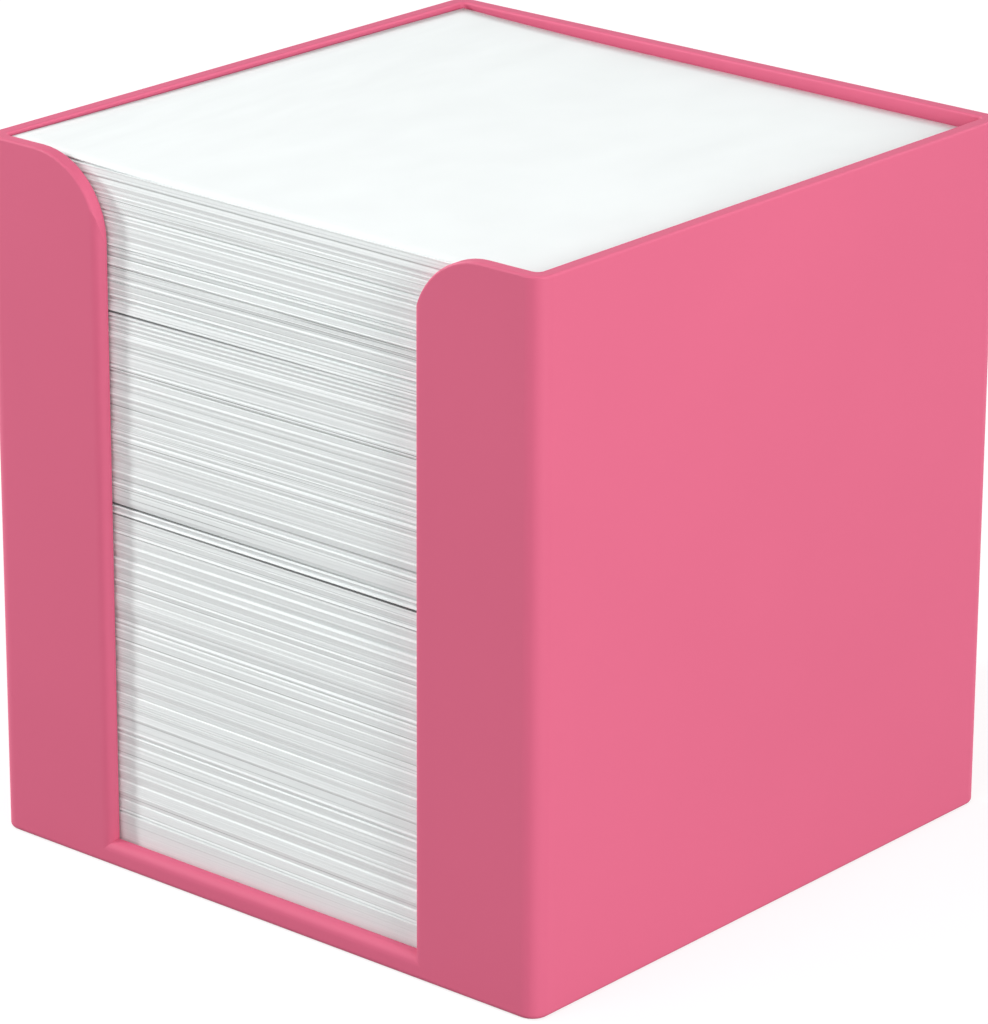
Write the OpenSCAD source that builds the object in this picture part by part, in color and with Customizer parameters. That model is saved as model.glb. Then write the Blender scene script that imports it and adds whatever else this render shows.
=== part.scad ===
// Memo box: a one-piece moulded holder, open at the top and at a finger
// window in the front wall, filled with loose square note sheets.
// Millimetres. +Z is up, the window faces -Y, and the origin is at the
// middle of the underside.

/* [Note sheets] */
// Side of one square sheet
sheet_w = 90; // [80:1:110]
// Height of the whole stack
stack_h = 93.4; // [80:0.2:120]
// Usual thickness of the bundles in which the sheets cling together
bundle_t = 0.6; // [0.5:0.02:2]
// How far a bundle's boundary may lie above or below its even place
unevenness = 0.2; // [0:0.02:0.24]
// How far the bundles stand out of line with each other
stagger = 0.4; // [0:0.02:0.4]
// Heights above the bottom sheet at which the stack has parted
parting_heights = [3.1, 46.6, 47.9, 51.4, 75]; // [1:0.1:75]
// Height of the gap at each parting
parting_gap = 0.24; // [0.1:0.02:0.5]
// How deep each parting reaches in from the edges of the sheets
parting_depth = 1.6; // [0.5:0.1:5]

/* [Holder] */
// Gap between the sheets and each wall
sheet_gap = 0.5; // [0.5:0.05:2]
// Thickness of the walls
wall_t = 2; // [1.8:0.1:4]
// Thickness of the floor
floor_t = 2; // [1.2:0.1:5]
// How far the top sheet lies below the rim
rim_recess = 1.6; // [0.5:0.1:10]
// Radius of the upright outer corners
corner_r = 2.5; // [1:0.1:4]
// Radius of the upright inner corners
inner_corner_r = 0.8; // [0.4:0.1:1]
// Rounding of the rim's edges and of the window's inner edges
rim_r = 0.35; // [0.2:0.05:0.55]
// Rounding of the outer edges of the sill and of the window's upright sides
window_r = 1.4; // [0.2:0.05:1.6]
// Rounding of the edge around the base
base_r = 0.7; // [0.2:0.05:1.5]

/* [Foot] */
// Height of the rim under the floor that the holder stands on
foot_h = 1; // [0.5:0.1:5]
// Width of that rim
foot_w = 3; // [2:0.1:12]

/* [Finger window] */
// Width of the window between the two posts
window_w = 54; // [25:0.5:60]
// Radius of the posts' rounded top corners
post_r = 11; // [3:0.5:14]
// Height of the sill above the floor
sill_lip = 0.4; // [0.2:0.1:20]

/* [Colours] */
// Plastic of the holder
holder_colour = "#e8708f";
// Paper
paper_colour = "#f4f6f5";

/* [Hidden] */
$fn = 64;
// How far a cut runs past the face that it opens
lap = 0.2;
// How far each bundle presses into the one above, so that the stack is one solid
press = 0.02;
// Start of the random draws that set the bundles' places
seed = 11;
cavity_w = sheet_w + 2 * sheet_gap;
box_w = cavity_w + 2 * wall_t;
floor_z = foot_h + floor_t;
stack_top = floor_z + stack_h;
box_h = stack_top + rim_recess;
sill_z = floor_z + sill_lip;
post_flat_x = window_w / 2 + post_r;
bundle_count = round(stack_h / bundle_t);
bundle_h = stack_h / bundle_count;
shift_x = rands(-stagger / 2, stagger / 2, bundle_count, seed);
shift_y = rands(-stagger / 2, stagger / 2, bundle_count, seed + 1);
shift_z = rands(-unevenness, unevenness, bundle_count, seed + 2);

module rounded_square(side, r) {
    square([side, side - 2 * r], center = true);
    square([side - 2 * r, side], center = true);
    for (x = [-1, 1], y = [-1, 1])
        translate([x * (side / 2 - r), y * (side / 2 - r)])
            circle(r);
}

// What is cut from a square edge at the origin to round it to the radius r,
// where the material fills the quarter with x and y positive
module edge_cut(r) {
    difference() {
        translate([-lap, -lap])
            square(r + lap);
        translate([r, r])
            circle(r);
    }
}

// The same with the material at negative x and y
module outer_edge_cut(r) {
    rotate(180)
        edge_cut(r);
}

// The same with the material at positive x and negative y
module inner_edge_cut(r) {
    mirror([0, 1])
        edge_cut(r);
}

// The same with the material at negative x and positive y
module lower_edge_cut(r) {
    mirror([1, 0])
        edge_cut(r);
}

// A cut along one straight side of the box, drawn in the plane across it
module side_run(half, length, z) {
    translate([half, length / 2, z])
        rotate([90, 0, 0])
            linear_extrude(length)
                children();
}

// The same cut around the upright corner at the end of that side
module corner_run(half, r, z) {
    translate([half - r, half - r, z])
        rotate_extrude(angle = 90)
            translate([r, 0])
                children();
}

// Cut on the outer edge of the front wall, where y runs from its inner face
// outwards
module wall_outer_cut(r) {
    translate([0, wall_t])
        outer_edge_cut(r);
}

// The left post's upright edges, lengthened downwards by extra. The outer
// cut goes straight on upwards and runs out where the post's top curves
// away. This and the next three are drawn with x along the wall, y up and z
// outwards.
module post_edge_cut(extra) {
    translate([-window_w / 2, box_h, 0])
        rotate([90, 0, 0])
            linear_extrude(box_h - sill_z + extra)
                wall_outer_cut(window_r);
    translate([-window_w / 2, box_h - post_r, 0])
        rotate([90, 0, 0])
            linear_extrude(box_h - post_r - sill_z + extra)
                lower_edge_cut(rim_r);
}

module post_top_cut() {
    translate([-post_flat_x, box_h - post_r, 0])
        rotate_extrude(angle = 90)
            translate([post_r, 0]) {
                lower_edge_cut(rim_r);
                wall_outer_cut(rim_r);
            }
}

module sill_edge_cut(extra) {
    translate([-window_w / 2 - extra, sill_z, 0])
        rotate([90, 0, 90])
            linear_extrude(window_w + 2 * extra) {
                lower_edge_cut(rim_r);
                wall_outer_cut(window_r);
            }
}

// The left post's flat top, between its rounded corner and the side wall
module post_rim_cut() {
    translate([-box_w / 2 + corner_r, box_h, 0])
        rotate([90, 0, 90])
            linear_extrude(box_w / 2 - corner_r - post_flat_x)
                wall_outer_cut(rim_r);
    translate([-cavity_w / 2 + inner_corner_r, box_h, 0])
        rotate([90, 0, 90])
            linear_extrude(cavity_w / 2 - inner_corner_r - post_flat_x)
                lower_edge_cut(rim_r);
}

module window_outline() {
    translate([-window_w / 2, sill_z])
        square([window_w, box_h + lap - sill_z]);
    for (side = [0, 1])
        mirror([side, 0])
            difference() {
                translate([window_w / 2 - lap, box_h - post_r])
                    square([post_r + lap, post_r + lap]);
                translate([post_flat_x, box_h - post_r])
                    circle(post_r);
            }
}

// Places a shape drawn on the front wall's inner face
module on_front_wall() {
    translate([0, -cavity_w / 2, 0])
        rotate([90, 0, 0])
            children();
}

module rim_rounding() {
    for (side = [0, 90, 180])
        rotate(side) {
            side_run(box_w / 2, box_w - 2 * corner_r, box_h)
                outer_edge_cut(rim_r);
            side_run(cavity_w / 2, cavity_w - 2 * inner_corner_r, box_h)
                inner_edge_cut(rim_r);
        }
    for (corner = [0, 90, 180, 270])
        rotate(corner) {
            corner_run(box_w / 2, corner_r, box_h)
                outer_edge_cut(rim_r);
            corner_run(cavity_w / 2, inner_corner_r, box_h)
                inner_edge_cut(rim_r);
        }
}

module window_rounding() {
    for (side = [0, 1])
        mirror([side, 0]) {
            post_edge_cut(0);
            post_top_cut();
            post_rim_cut();
            intersection() {
                post_edge_cut(window_r);
                sill_edge_cut(window_r);
            }
        }
    sill_edge_cut(0);
}

module base_rounding() {
    for (side = [0, 90, 180, 270])
        rotate(side) {
            side_run(box_w / 2, box_w - 2 * corner_r, 0)
                lower_edge_cut(base_r);
            corner_run(box_w / 2, corner_r, 0)
                lower_edge_cut(base_r);
        }
}

module holder() {
    color(holder_colour)
        difference() {
            linear_extrude(box_h)
                rounded_square(box_w, corner_r);
            translate([0, 0, floor_z])
                linear_extrude(box_h + lap - floor_z)
                    rounded_square(cavity_w, inner_corner_r);
            translate([0, 0, -lap])
                linear_extrude(foot_h + lap)
                    rounded_square(box_w - 2 * foot_w, inner_corner_r);
            on_front_wall()
                translate([0, 0, -lap])
                    linear_extrude(wall_t + 2 * lap)
                        window_outline();
            rim_rounding();
            on_front_wall()
                window_rounding();
            base_rounding();
        }
}

// Height at which bundle i starts, since no two are equally thick
function bundle_z(i) =
    i == 0 ? 0 : i == bundle_count ? stack_h : i * bundle_h + shift_z[i];

module bundle(i) {
    top = min(bundle_z(i + 1) + press, stack_h);
    translate([shift_x[i], shift_y[i], bundle_z(i)])
        linear_extrude(top - bundle_z(i))
            square(sheet_w, center = true);
}

// Gap all round the stack where it has parted
module parting(height) {
    translate([0, 0, height - parting_gap / 2])
        linear_extrude(parting_gap)
            difference() {
                square(sheet_w + 2 * sheet_gap, center = true);
                square(sheet_w - 2 * parting_depth, center = true);
            }
}

module note_sheets() {
    color(paper_colour)
        translate([0, 0, floor_z])
            difference() {
                union() {
                    for (i = [0 : bundle_count - 1])
                        bundle(i);
                }
                for (height = parting_heights)
                    parting(height);
            }
}

holder();
note_sheets();
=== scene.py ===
import math

import bpy
import numpy as np
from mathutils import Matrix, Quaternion, Vector


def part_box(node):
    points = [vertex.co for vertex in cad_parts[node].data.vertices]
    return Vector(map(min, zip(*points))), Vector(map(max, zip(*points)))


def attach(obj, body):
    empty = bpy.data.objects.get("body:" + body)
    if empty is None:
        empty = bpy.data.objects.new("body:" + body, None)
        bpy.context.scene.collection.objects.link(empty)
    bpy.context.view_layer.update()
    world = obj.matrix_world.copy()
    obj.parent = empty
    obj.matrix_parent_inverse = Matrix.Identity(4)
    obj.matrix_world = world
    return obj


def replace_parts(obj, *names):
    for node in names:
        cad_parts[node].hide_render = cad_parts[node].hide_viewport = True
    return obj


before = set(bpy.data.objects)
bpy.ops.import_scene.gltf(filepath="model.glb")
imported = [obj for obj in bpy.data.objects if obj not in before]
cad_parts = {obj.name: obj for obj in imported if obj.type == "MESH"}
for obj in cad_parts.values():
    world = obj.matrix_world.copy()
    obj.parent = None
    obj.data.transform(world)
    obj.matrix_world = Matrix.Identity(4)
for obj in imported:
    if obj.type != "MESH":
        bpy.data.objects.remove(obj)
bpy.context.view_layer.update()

MM = 0.001

# Camera, found from the straight edges of the box in the photograph
CAM_AZIMUTH = math.radians(40.57)
CAM_ELEVATION = math.radians(20.05)
CAM_ROLL = math.radians(0.26)
CAM_DISTANCE = 0.7095
CAM_AIM = Vector((-0.00016, -0.00014, 0.0440))
CAM_LENS_MM = 185.3
CAM_SENSOR_MM = 36

# The space that the stack fills, in millimetres
SHEETS_LOW, SHEETS_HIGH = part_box("note_sheets")
STACK_LOW = SHEETS_LOW.z / MM
STACK_HIGH = SHEETS_HIGH.z / MM

# Sheets in millimetres: side, thickness with air, and air
SHEET_W = 90
SHEET_T = 0.12
SHEET_AIR = 0.008
# Parts in which the front edge of a sheet is drawn
FRONT_STEPS = 18
# How single sheets stray: turn in radians, then sideways and outwards
SHEET_TURN = 0.0003
SHEET_SIDEWAYS = 0.1
EDGE_JITTER = 0.008

# Packs in which the stack was cut: usual height at the bottom and at the top, and
# the factors between which it varies
PACK_LOW = 1.1
PACK_HIGH = 0.55
PACK_FACTORS = (0.5, 1.5)
# How far a pack's front edge stands out, least and most, and how much its ends differ
EDGE_OUT = (0.2, 0.36)
EDGE_SKEW = 0.05
# Height of the slope at a pack's top, least and most, and its largest share of the pack
SLOPE_H = (0.08, 0.2)
SLOPE_SHARE = 0.4
# How far a pack's top stands out past the pack above: always, and at most on top
# of that, at the left and at the right end
STEP_LEAST = 0.03
STEP_SPANS = np.array((0.2, 0.59))
# Factors between which the two ends of a step vary by themselves
STEP_FACTORS = (0.6, 1.0)
# How rare wide steps are, as a power of the draw, at the bottom and at the top
STEP_POWER_LOW = 2.5
STEP_POWER_HIGH = 1.5
# Steps are smaller low in the stack: by this factor at the bottom, and full from
# this share of the height on
STEP_LOW_FACTOR = 0.55
STEP_FULL_FROM = 0.4
# The lowest pack, which is thick and even: top, height of its slope, and for the left
# and right end how far its top, its step and its bottom stand out
FIRST_PACK_TOP = 6.9
FIRST_SLOPE_H = 0.2
FIRST_OUT = np.array((0.4, 0.4))
FIRST_STEP = np.array((0.35, 0.3))
FIRST_FOOT_OUT = np.array((0.25, 0.2))

# Tone of the packs, least and most, of the lowest one, and how single sheets differ
PACK_TONE = (0.98, 1.0)
FIRST_PACK_TONE = 0.93
SHEET_TONE_SPREAD = 0.012
# How much darker the lowest sheet of a pack may be, as painted shade of the gap below it
GAP_SHADE = 0.22
# Share of single sheets that show as dark hairlines of painted shade between sheets, at the bottom
# and at the top, how much darker they may be, and at how many places along the sheet that changes
HAIRLINE_SHARES = (0.04, 0.16)
HAIRLINE_SHADE = 0.6
HAIRLINE_KNOTS = 9

# How the sheets rise to the right at some heights, as (height, rise per mm)
LEANS = [(3, 0), (6.9, -0.016), (50, -0.009), (76, 0), (96.4, -0.008)]
# Where the stack has parted, as (height, gap at the left post, gap at the right post)
PARTINGS = [
    (49.6, 0.12, 0.22),
    (50.9, 0.2, 0.05),
    (54.4, 0.04, 0.1),
    (77.6, 0.2, 0.02),
    (81.6, 0.06, 0.03),
]
# The posts stand this far to the left and to the right of the middle
POST_X = 27
# How much a gap of one millimetre darkens the sheets beside it, as painted shade of the gap
PARTING_SHADE = 3.3

# Top sheet: where its curl starts, how high it rises at the two left corners, how far
# it lies to the right, and the faces along each side
CURL_START = -14
CURL_FRONT = 0.85
CURL_BACK = 0.5
TOP_SHEET_SHIFT = 0.05
TOP_STEPS = 36
# Waves in it: height, radians per millimetre along x and y, and where they start along x
WAVE_H = 0.03
WAVE_X = 0.11
WAVE_Y = 0.07
WAVE_START = 1.0

# Colours as linear light
PLASTIC = (0.700, 0.125, 0.228)
PAPER = (0.900, 0.935, 0.932)
FLOOR = (0.34, 0.34, 0.34)
# What is added to the floor where the camera sees it, so that it shows as white
FLOOR_LIFT = 0.72
FLOOR_HALF = 3.0

# Refraction of both materials, and their roughness
IOR = 1.4
PLASTIC_ROUGHNESS = 0.6
PAPER_ROUGHNESS = 0.85
# Patterns, as noise scales per metre: clouds and fine texture of the moulding, streaks
# along the sheets' edges, and fibres
CLOUD_SCALE = (28, 28, 28)
MOULD_SCALE = (5200, 5200, 5200)
STREAK_SCALE = (60, 60, 9000)
FIBRE_SCALE = (2600, 2600, 2600)
# Tone of the darkest cloud, and of the darkest and lightest streak
CLOUD_TONE = 0.97
STREAK_TONES = (0.96, 1.04)
# Strength and depth of the two bumps
MOULD_BUMP = (0.12, 0.04 * MM)
FIBRE_BUMP = (0.2, 0.03 * MM)

# Light from all round, and lamps as (azimuth, elevation, distance and side in metres, watts)
ROOM_LIGHT = 0.34
LAMPS = {
    "right_box": (81, 17, 0.9, 0.4, 6.3),
    "left_box": (-95, 15, 1.2, 0.6, 5.0),
    "back_box": (175, 15, 1.2, 0.6, 5.5),
    "front_box": (8, 62, 0.6, 0.36, 0.93),
    "front_fill": (-12, 8, 1.2, 0.8, 2.2),
    "left_lamp": (-60, 20, 0.9, 0.09, 4.0),
}
LAMP_AIM = Vector((0, 0, 0.05))

rng = np.random.default_rng(seed=20)


def between(start, end, share):
    return start + (end - start) * share


def from_side(azimuth, elevation):
    """Direction towards a place round the box; 0, 0 is straight in front of the window."""
    return Vector((
        math.sin(azimuth) * math.cos(elevation),
        -math.cos(azimuth) * math.cos(elevation),
        math.sin(elevation),
    ))


def add_object(name, data):
    obj = bpy.data.objects.new(name, data)
    bpy.context.scene.collection.objects.link(obj)
    return obj


def make_camera():
    data = bpy.data.cameras.new("camera")
    data.lens = CAM_LENS_MM
    data.sensor_width = CAM_SENSOR_MM
    data.clip_start = 0.01
    camera = add_object("camera", data)
    back = from_side(CAM_AZIMUTH, CAM_ELEVATION)
    camera.location = CAM_AIM + back * CAM_DISTANCE
    camera.rotation_mode = "QUATERNION"
    roll = Quaternion((0, 0, 1), CAM_ROLL)
    camera.rotation_quaternion = (-back).to_track_quat("-Z", "Y") @ roll
    bpy.context.scene.camera = camera


class Nodes:
    """The node tree of a material or the world, with short calls to add and join nodes."""

    def __init__(self, tree, output):
        self.tree = tree
        self.tree.nodes.clear()
        self.out = self.add(output)

    def add(self, kind, **values):
        node = self.tree.nodes.new("ShaderNode" + kind)
        for key, value in values.items():
            if hasattr(node, key):
                setattr(node, key, value)
            else:
                node.inputs[key.replace("_", " ")].default_value = value
        return node

    def join(self, source, target):
        self.tree.links.new(source, target)

    def noise(self, place, scale, detail):
        """Noise that is stretched by giving a scale for each axis."""
        stretch = self.add("Mapping", Scale=scale)
        self.join(place, stretch.inputs["Vector"])
        noise = self.add("TexNoise", Detail=detail)
        noise.inputs["Scale"].default_value = 1.0
        self.join(stretch.outputs["Vector"], noise.inputs["Vector"])
        return noise.outputs["Fac"]

    def bump(self, height, strength, distance, shader):
        bump = self.add("Bump", Strength=strength, Distance=distance)
        self.join(height, bump.inputs["Height"])
        self.join(bump.outputs["Normal"], shader.inputs["Normal"])

    def seen(self):
        """1 where the camera sees the surface, directly, in gloss or through glass, else 0."""
        path = self.add("LightPath")
        seen = path.outputs["Is Camera Ray"]
        for kind in ("Is Glossy Ray", "Is Transmission Ray"):
            either = self.add("Math", operation="MAXIMUM")
            self.join(seen, either.inputs[0])
            self.join(path.outputs[kind], either.inputs[1])
            seen = either.outputs["Value"]
        return seen

    def pick(self, factor, first, second):
        """Show the first shader where the factor is 0 and the second where it is 1."""
        mix = self.add("MixShader")
        self.join(factor, mix.inputs["Fac"])
        self.join(first.outputs[0], mix.inputs[1])
        self.join(second.outputs[0], mix.inputs[2])
        self.join(mix.outputs[0], self.out.inputs["Surface"])


def new_material(name):
    material = bpy.data.materials.new(name)
    material.use_nodes = True
    return material, Nodes(material.node_tree, "OutputMaterial")


def plastic_material():
    material, n = new_material("satin_plastic")
    shader = n.add("BsdfPrincipled", Roughness=PLASTIC_ROUGHNESS, IOR=IOR)
    place = n.add("TexCoord").outputs["Object"]

    # Cloudy tone of the moulding, a few centimetres across
    tone = n.add("ValToRGB")
    dark, light = tone.color_ramp.elements
    dark.position, light.position = 0.3, 0.7
    dark.color = (*[c * CLOUD_TONE for c in PLASTIC], 1)
    light.color = (*PLASTIC, 1)
    n.join(n.noise(place, CLOUD_SCALE, 2), tone.inputs["Fac"])
    n.join(tone.outputs["Color"], shader.inputs["Base Color"])

    # Fine spark-eroded texture of the mould
    n.bump(n.noise(place, MOULD_SCALE, 3), *MOULD_BUMP, shader)
    n.join(shader.outputs["BSDF"], n.out.inputs["Surface"])
    return material


def paper_material():
    material, n = new_material("writing_paper")
    shader = n.add("BsdfPrincipled", Roughness=PAPER_ROUGHNESS, IOR=IOR)
    place = n.add("TexCoord").outputs["Object"]

    # Each sheet has its own tone, random and with painted shade at gaps, partings and hairlines,
    # and fine streaks run along its edges
    spread = n.add("MapRange", To_Min=STREAK_TONES[0], To_Max=STREAK_TONES[1])
    n.join(n.noise(place, STREAK_SCALE, 2), spread.inputs["Value"])
    tone = n.add("Attribute", attribute_name="tone")
    both = n.add("Math", operation="MULTIPLY")
    n.join(tone.outputs["Fac"], both.inputs[0])
    n.join(spread.outputs["Result"], both.inputs[1])
    colour = n.add("VectorMath", operation="SCALE")
    colour.inputs[0].default_value = PAPER
    n.join(both.outputs["Value"], colour.inputs["Scale"])
    n.join(colour.outputs["Vector"], shader.inputs["Base Color"])

    # Fibres
    n.bump(n.noise(place, FIBRE_SCALE, 4), *FIBRE_BUMP, shader)
    n.join(shader.outputs["BSDF"], n.out.inputs["Surface"])
    return material


def draw_packs():
    """The packs from the top down: tops, slopes, and for the left and right end outs and steps."""
    tops, slopes, outs, steps, tones = [], [], [], [], []
    z = STACK_HIGH
    while z > FIRST_PACK_TOP:
        up = (z - FIRST_PACK_TOP) / (STACK_HIGH - FIRST_PACK_TOP)
        pack = rng.uniform(*PACK_FACTORS) * between(PACK_LOW, PACK_HIGH, up)
        tops.append(z)
        slopes.append(min(rng.uniform(*SLOPE_H), SLOPE_SHARE * pack))
        outs.append(rng.uniform(*EDGE_OUT) + rng.uniform(-EDGE_SKEW, EDGE_SKEW, 2))
        spans = STEP_SPANS * np.interp(up, [0, STEP_FULL_FROM], [STEP_LOW_FACTOR, 1])
        draw = rng.random() ** between(STEP_POWER_LOW, STEP_POWER_HIGH, up)
        steps.append(STEP_LEAST + spans * draw * rng.uniform(*STEP_FACTORS, 2))
        tones.append(rng.uniform(*PACK_TONE))
        z -= pack
    return tops, slopes, outs, steps, tones


def edge_profile():
    """Knots of the front edges' outline from the bottom up, and the top and tone of each pack.

    The top of each pack slopes out past the pack above and catches the light,
    and below it the edges draw back little by little.
    """
    tops, slopes, outs, steps, tones = draw_packs()
    tops.append(FIRST_PACK_TOP)
    slopes.append(FIRST_SLOPE_H)
    outs.append(FIRST_OUT)
    steps.append(FIRST_STEP)
    tones.append(FIRST_PACK_TONE)
    heights, reaches = [], []
    for top, slope, out, step in zip(tops, slopes, outs, steps):
        heights += [top, top - slope]
        reaches += [out - step, out]
    heights.append(STACK_LOW)
    reaches.append(FIRST_FOOT_OUT)
    return np.array(heights[::-1]), np.array(reaches[::-1]), np.array(tops[::-1]), tones[::-1]


def parting_gap(x, at_left, at_right):
    """Height at the places x of a gap that is given at the two posts."""
    return between(at_left, at_right, np.clip((x + POST_X) / (2 * POST_X), 0, 1))


def settle(x, z, sheet_z):
    """Height z at the places x after the stack's lean and partings, for the sheet at sheet_z."""
    lean = np.interp(z, [k[0] for k in LEANS], [k[1] for k in LEANS]) * x
    opened = np.zeros_like(x)
    total = np.zeros_like(x)
    for height, at_left, at_right in PARTINGS:
        gap = parting_gap(x, at_left, at_right)
        opened = opened + gap * (sheet_z > height)
        total = total + gap
    return z + lean + opened - total * (z - STACK_LOW) / (STACK_HIGH - STACK_LOW)


def painted_parting_shade(x, sheet_z, pitch):
    """Tone at the places x of the sheet at sheet_z, which is darker under a parting, as painted
    shade of the parting's gap.
    """
    tone = np.ones_like(x)
    for height, at_left, at_right in PARTINGS:
        gap = parting_gap(x, at_left, at_right)
        tone = tone - PARTING_SHADE * gap * (height - pitch < sheet_z <= height)
    return tone


def sheet_tone_and_shade(x, sheet_z, pitch, pack_tone, lowest_of_pack):
    """Tone at the places x of the sheet at sheet_z, random, with painted shade for its gap, its
    partings and its hairline.
    """
    tone = painted_parting_shade(x, sheet_z, pitch) * pack_tone * rng.normal(1.0, SHEET_TONE_SPREAD)
    # Painted shade of the gap under the lowest sheet of a pack
    if lowest_of_pack:
        tone = tone * (1 - GAP_SHADE * rng.random() ** 2)
    # Painted shade: some single sheets show as dark hairlines
    if rng.random() < np.interp(sheet_z, (STACK_LOW, STACK_HIGH), HAIRLINE_SHARES):
        knots = np.linspace(-SHEET_W / 2, SHEET_W / 2, HAIRLINE_KNOTS)
        depth = np.interp(x, knots, rng.random(HAIRLINE_KNOTS))
        tone = tone * (1 - HAIRLINE_SHADE * rng.random() ** 2 * depth)
    return tone


def sheet_outline():
    """Corners of a sheet, with more points along its front edge."""
    half = SHEET_W / 2
    front = np.linspace(-half, half, FRONT_STEPS + 1)
    return np.concatenate([
        np.stack([front, np.full(FRONT_STEPS + 1, -half)], 1),
        [[half, half], [-half, half]],
    ])


def sheet_faces(base, around):
    """The edges of a sheet, and its two sides as fans round their middles."""
    above = base + around + 1
    faces = []
    for i in range(around):
        j = (i + 1) % around
        faces.append((base + i, base + j, above + j, above + i))
        faces.append((base + around, base + j, base + i))
        faces.append((above + around, above + i, above + j))
    return faces


def paper_piece(name, verts, faces, tones):
    """A mesh of paper from points in millimetres, with a tone for each point, which holds random
    tone and painted shade.
    """
    mesh = bpy.data.meshes.new(name)
    mesh.from_pydata((np.concatenate(verts) * MM).tolist(), [], faces)
    tone = mesh.attributes.new("tone", "FLOAT", "POINT")
    tone.data.foreach_set("value", np.array(tones, dtype=np.float32))
    mesh.materials.append(bpy.data.materials["writing_paper"])
    piece = add_object(name, mesh)
    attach(piece, "root")
    return piece


def make_sheets():
    count = round((STACK_HIGH - STACK_LOW) / SHEET_T) - 1
    pitch = (STACK_HIGH - STACK_LOW) / (count + 1)
    knots, reaches, tops, pack_tones = edge_profile()
    outline = sheet_outline()
    around = len(outline)
    rightness = (outline[:, 0] + SHEET_W / 2) / SHEET_W
    verts, faces, tones = [], [], []
    last_pack = 0
    for k in range(count):
        turn = rng.normal(0, SHEET_TURN)
        x = outline[:, 0] - turn * outline[:, 1] + rng.uniform(-SHEET_SIDEWAYS, SHEET_SIDEWAYS)
        y = outline[:, 1] + turn * outline[:, 0] + rng.normal(0, EDGE_JITTER)
        bottom = STACK_LOW + k * pitch
        for z in (bottom, bottom + pitch - SHEET_AIR):
            left, right = (np.interp(z, knots, reaches[:, side]) for side in (0, 1))
            reach = between(left, right, rightness)
            verts.append(np.stack([x, y - reach, settle(x, z, bottom)], 1))
            verts.append([[0, 0, settle(np.zeros(1), z, bottom)[0]]])
        faces += sheet_faces(k * 2 * (around + 1), around)
        pack = min(int(np.searchsorted(tops, bottom)), len(tops) - 1)
        # Random tone of pack and sheet, with painted shade at gaps, partings and hairlines
        tone = sheet_tone_and_shade(x, bottom, pitch, pack_tones[pack], pack > last_pack)
        last_pack = pack
        tones += [*tone, tone.mean(), *tone, tone.mean()]
    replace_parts(paper_piece("loose_sheets", verts, faces, tones), "note_sheets")


def make_top_sheet():
    """The loose top sheet, which curls up along the left wall."""
    n = TOP_STEPS
    row = n + 1
    total = row * row
    half = SHEET_W / 2
    side = np.linspace(-half, half, row)
    x, y = np.meshgrid(side, side)
    curl = np.clip((CURL_START - x) / (CURL_START + half), 0, 1) ** 2
    lift = between(CURL_FRONT, CURL_BACK, (y + half) / SHEET_W)
    wave = WAVE_H * np.sin(x * WAVE_X + WAVE_START) * np.sin(y * WAVE_Y)
    z = STACK_HIGH - SHEET_T + LEANS[-1][1] * x + curl * lift + wave
    low_side = np.stack([x + TOP_SHEET_SHIFT, y, z], 2).reshape(-1, 3)
    top_side = low_side + (0, 0, SHEET_T - SHEET_AIR)
    faces = []
    for j in range(n):
        for i in range(n):
            a = j * row + i
            faces.append((a, a + row, a + row + 1, a + 1))
            faces.append((total + a, total + a + 1, total + a + row + 1, total + a + row))
    rim = [i for i in range(n)] + [n + j * row for j in range(n)]
    rim += [n * row + n - i for i in range(n)] + [(n - j) * row for j in range(n)]
    for a, b in zip(rim, rim[1:] + rim[:1]):
        faces.append((a, b, total + b, total + a))
    sheet = paper_piece("top_sheet", [low_side, top_side], faces, [1.0] * (2 * total))
    for face in sheet.data.polygons:
        face.use_smooth = face.index < 2 * n * n


def dress_holder():
    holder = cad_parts["holder"]
    holder.data.materials.clear()
    holder.data.materials.append(plastic_material())


def floor_material():
    """Plain pale floor, seen as white by the camera and in gloss, with the shadow kept."""
    material, n = new_material("pale_floor")
    surface = n.add("BsdfDiffuse", Color=(*FLOOR, 1))
    lift = n.add("Emission", Color=(1, 1, 1, 1), Strength=FLOOR_LIFT)
    both = n.add("AddShader")
    n.join(surface.outputs[0], both.inputs[0])
    n.join(lift.outputs[0], both.inputs[1])
    n.pick(n.seen(), surface, both)
    return material


def make_floor():
    mesh = bpy.data.meshes.new("floor")
    corners = [(x * FLOOR_HALF, y * FLOOR_HALF, 0) for x, y in ((-1, -1), (1, -1), (1, 1), (-1, 1))]
    mesh.from_pydata(corners, [], [(0, 1, 2, 3)])
    mesh.materials.append(floor_material())
    add_object("floor", mesh)


def light_scene():
    world = bpy.data.worlds.new("studio")
    world.use_nodes = True
    n = Nodes(world.node_tree, "OutputWorld")
    room = n.add("Background", Strength=ROOM_LIGHT)
    white = n.add("Background", Strength=1.0)
    n.pick(n.seen(), room, white)
    bpy.context.scene.world = world
    for name, (azimuth, elevation, distance, side, watts) in LAMPS.items():
        data = bpy.data.lights.new(name, "AREA")
        data.shape = "SQUARE"
        data.size = side
        data.energy = watts
        lamp = add_object(name, data)
        back = from_side(math.radians(azimuth), math.radians(elevation))
        lamp.location = LAMP_AIM + back * distance
        lamp.rotation_mode = "QUATERNION"
        lamp.rotation_quaternion = (-back).to_track_quat("-Z", "Y")


make_camera()
dress_holder()
paper_material()
make_sheets()
make_top_sheet()
make_floor()
light_scene()
bpy.context.scene.view_settings.view_transform = "Standard"
